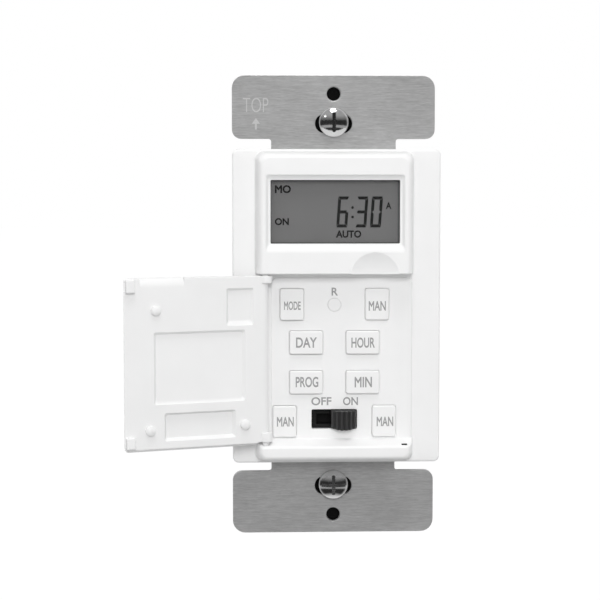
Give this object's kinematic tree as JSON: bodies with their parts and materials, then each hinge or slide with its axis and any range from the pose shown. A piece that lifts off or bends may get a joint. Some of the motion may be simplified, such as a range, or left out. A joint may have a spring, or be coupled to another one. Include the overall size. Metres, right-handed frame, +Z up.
{
  "type": "timer light switch",
  "caption": "In-wall digital timer switch on a steel strap, with a display, press keys and a slide knob behind a hinged door that swings open to the side.",
  "frame": {"origin": "middle of the strap's rear face, between the wall plate holes", "axes": "+Z up along the strap, +Y into the wall, +X to the right seen from the front"},
  "size_m": [0.0713, 0.0508, 0.1052],
  "materials": {
    "white_plastic": "fine satin moulded surface",
    "strap_steel": "horizontal brushed sheet",
    "bright_screw": "bright plated",
    "zinc_steel": "zinc plated",
    "fibre": "pressed fibre",
    "clear_window": "clear polished",
    "display_grey": "reflective display glass",
    "pale_plastic": "natural moulded",
    "elastomer": "soft matt",
    "black_plastic": "satin black",
    "blue_plastic": "moulded blue",
    "red_plastic": "dipped red",
    "board_green": "solder mask",
    "housing_plastic": "dark moulded",
    "brass": "plain brass",
    "green_screw": "green passivated"
  },
  "bodies": {
    "frame": {"mounting_strap": "strap_steel", "mounting_screws": "bright_screw", "screw_retainers": "fibre", "front_cover": "white_plastic", "display_window": "clear_window", "display_glass": "display_grey", "display_holder": "pale_plastic", "contact_strips": "elastomer", "tact_switch_bodies": "black_plastic", "slide_switch_body": "black_plastic", "control_board": "board_green", "board_screws": "zinc_steel", "timer_chip": "black_plastic", "clock_crystal": "zinc_steel", "backup_cell": "zinc_steel", "cell_clip": "brass", "link_header": "black_plastic", "link_pins": "brass", "link_socket": "black_plastic", "insulation_sheet": "fibre", "power_board": "board_green", "relay": "blue_plastic", "film_capacitor": "red_plastic", "filter_capacitors": "blue_plastic", "varistor": "blue_plastic", "rectifier": "black_plastic", "fuse": "pale_plastic", "rear_housing": "housing_plastic", "housing_screws": "zinc_steel", "terminal_plates": "brass", "terminal_clamps": "zinc_steel", "terminal_screws": "brass", "ground_screw": "green_screw"},
    "door": {"door": "white_plastic"},
    "slide_knob": {"slide_knob": "black_plastic", "slide_contact": "brass"},
    "reset_button": {"reset_button": "white_plastic", "plunger_reset": "black_plastic"},
    "key_mode": {"key_mode": "white_plastic", "plunger_mode": "black_plastic"},
    "key_manual_top": {"key_manual_top": "white_plastic", "plunger_manual_top": "black_plastic"},
    "key_day": {"key_day": "white_plastic", "plunger_day": "black_plastic"},
    "key_hour": {"key_hour": "white_plastic", "plunger_hour": "black_plastic"},
    "key_program": {"key_program": "white_plastic", "plunger_program": "black_plastic"},
    "key_minute": {"key_minute": "white_plastic", "plunger_minute": "black_plastic"},
    "key_manual_left": {"key_manual_left": "white_plastic", "plunger_manual_left": "black_plastic"},
    "key_manual_right": {"key_manual_right": "white_plastic", "plunger_manual_right": "black_plastic"}
  },
  "joints": [
    {"name": "door_hinge", "type": "hinge", "parent": "frame", "child": "door", "pos_m": [-0.0157, -0.00745, -0.012], "axis": [0, 0, 1], "range_deg": [-14.6, 160.4]},
    {"name": "mode_press", "type": "slide", "parent": "frame", "child": "key_mode", "axis": [0, 1, 0], "range_m": [0, 0.0005], "stiffness_N_per_m": 1500, "springref_m": -0.0002},
    {"name": "manual_top_press", "type": "slide", "parent": "frame", "child": "key_manual_top", "axis": [0, 1, 0], "range_m": [0, 0.0005], "stiffness_N_per_m": 1500, "springref_m": -0.0002},
    {"name": "day_press", "type": "slide", "parent": "frame", "child": "key_day", "axis": [0, 1, 0], "range_m": [0, 0.0005], "stiffness_N_per_m": 1500, "springref_m": -0.0002},
    {"name": "hour_press", "type": "slide", "parent": "frame", "child": "key_hour", "axis": [0, 1, 0], "range_m": [0, 0.0005], "stiffness_N_per_m": 1500, "springref_m": -0.0002},
    {"name": "program_press", "type": "slide", "parent": "frame", "child": "key_program", "axis": [0, 1, 0], "range_m": [0, 0.0005], "stiffness_N_per_m": 1500, "springref_m": -0.0002},
    {"name": "minute_press", "type": "slide", "parent": "frame", "child": "key_minute", "axis": [0, 1, 0], "range_m": [0, 0.0005], "stiffness_N_per_m": 1500, "springref_m": -0.0002},
    {"name": "manual_left_press", "type": "slide", "parent": "frame", "child": "key_manual_left", "axis": [0, 1, 0], "range_m": [0, 0.0005], "stiffness_N_per_m": 1500, "springref_m": -0.0002},
    {"name": "manual_right_press", "type": "slide", "parent": "frame", "child": "key_manual_right", "axis": [0, 1, 0], "range_m": [0, 0.0005], "stiffness_N_per_m": 1500, "springref_m": -0.0002},
    {"name": "reset_press", "type": "slide", "parent": "frame", "child": "reset_button", "axis": [0, 1, 0], "range_m": [0, 0.0005], "stiffness_N_per_m": 1500, "springref_m": -0.0002},
    {"name": "knob_slide", "type": "slide", "parent": "frame", "child": "slide_knob", "axis": [1, 0, 0], "range_m": [-0.0043, 0]}
  ]
}
